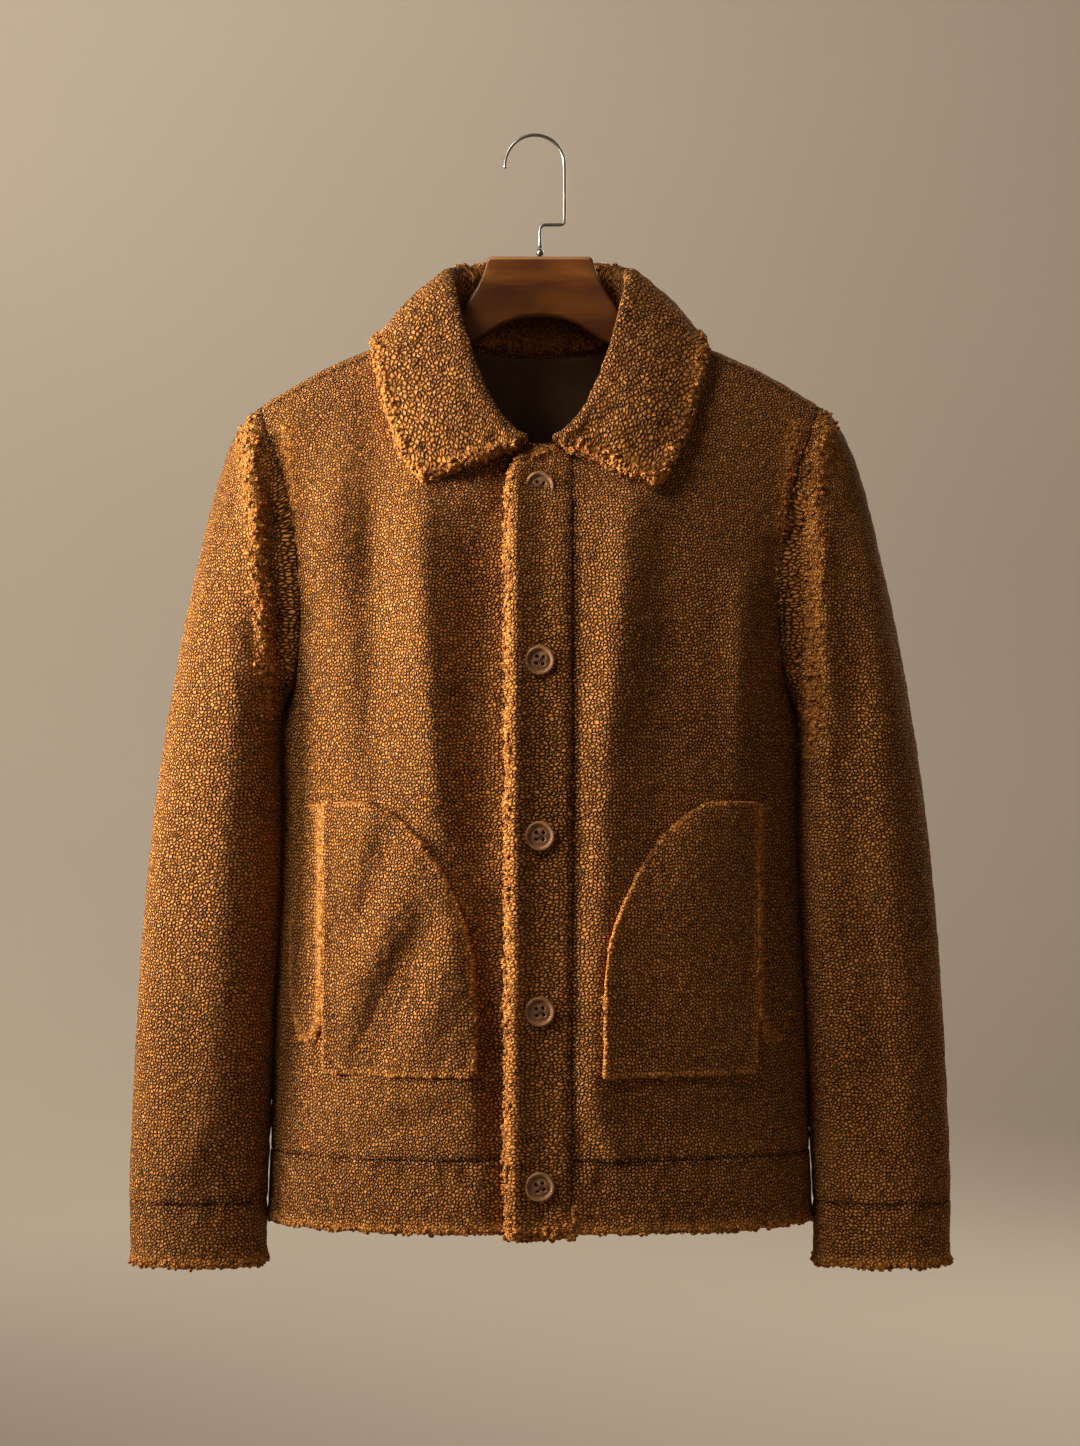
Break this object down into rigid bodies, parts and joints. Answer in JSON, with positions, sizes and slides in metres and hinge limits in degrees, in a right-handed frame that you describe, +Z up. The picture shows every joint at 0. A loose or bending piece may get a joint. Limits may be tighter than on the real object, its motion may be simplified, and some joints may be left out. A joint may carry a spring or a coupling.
{
  "type": "fleece jacket on hanger",
  "caption": "Buttoned teddy-fleece jacket with turned-down collar, patch pockets, cuffs and hem band, hanging on a wooden hanger with a wire hook.",
  "frame": {"origin": "where the rod bears on the inside of the hanger's hook, above the middle of the jacket", "axes": "+Z up, +X to the wearer's left, -Y out of the jacket's front"},
  "size_m": [0.6268, 0.1964, 0.8639],
  "materials": {
    "fleece": "curly pile",
    "lining": "plain suede-like",
    "button": "satin",
    "wood": "satin varnish",
    "steel": "satin"
  },
  "bodies": {
    "root": {"front_left": "fleece", "front_right": "fleece", "back": "fleece", "sleeve_left": "fleece", "sleeve_right": "fleece", "cuff_left": "fleece", "cuff_right": "fleece", "hem_band": "fleece", "placket": "fleece", "pocket_left": "fleece", "pocket_right": "fleece", "pocket_welt_left": "fleece", "pocket_welt_right": "fleece", "collar": "fleece", "neck_lining": "lining", "button_1": "button", "button_2": "button", "button_3": "button", "button_4": "button", "button_5": "button", "hanger_body": "wood", "hanger_hook": "steel", "hanger_ferrule": "steel"}
  },
  "joints": []
}
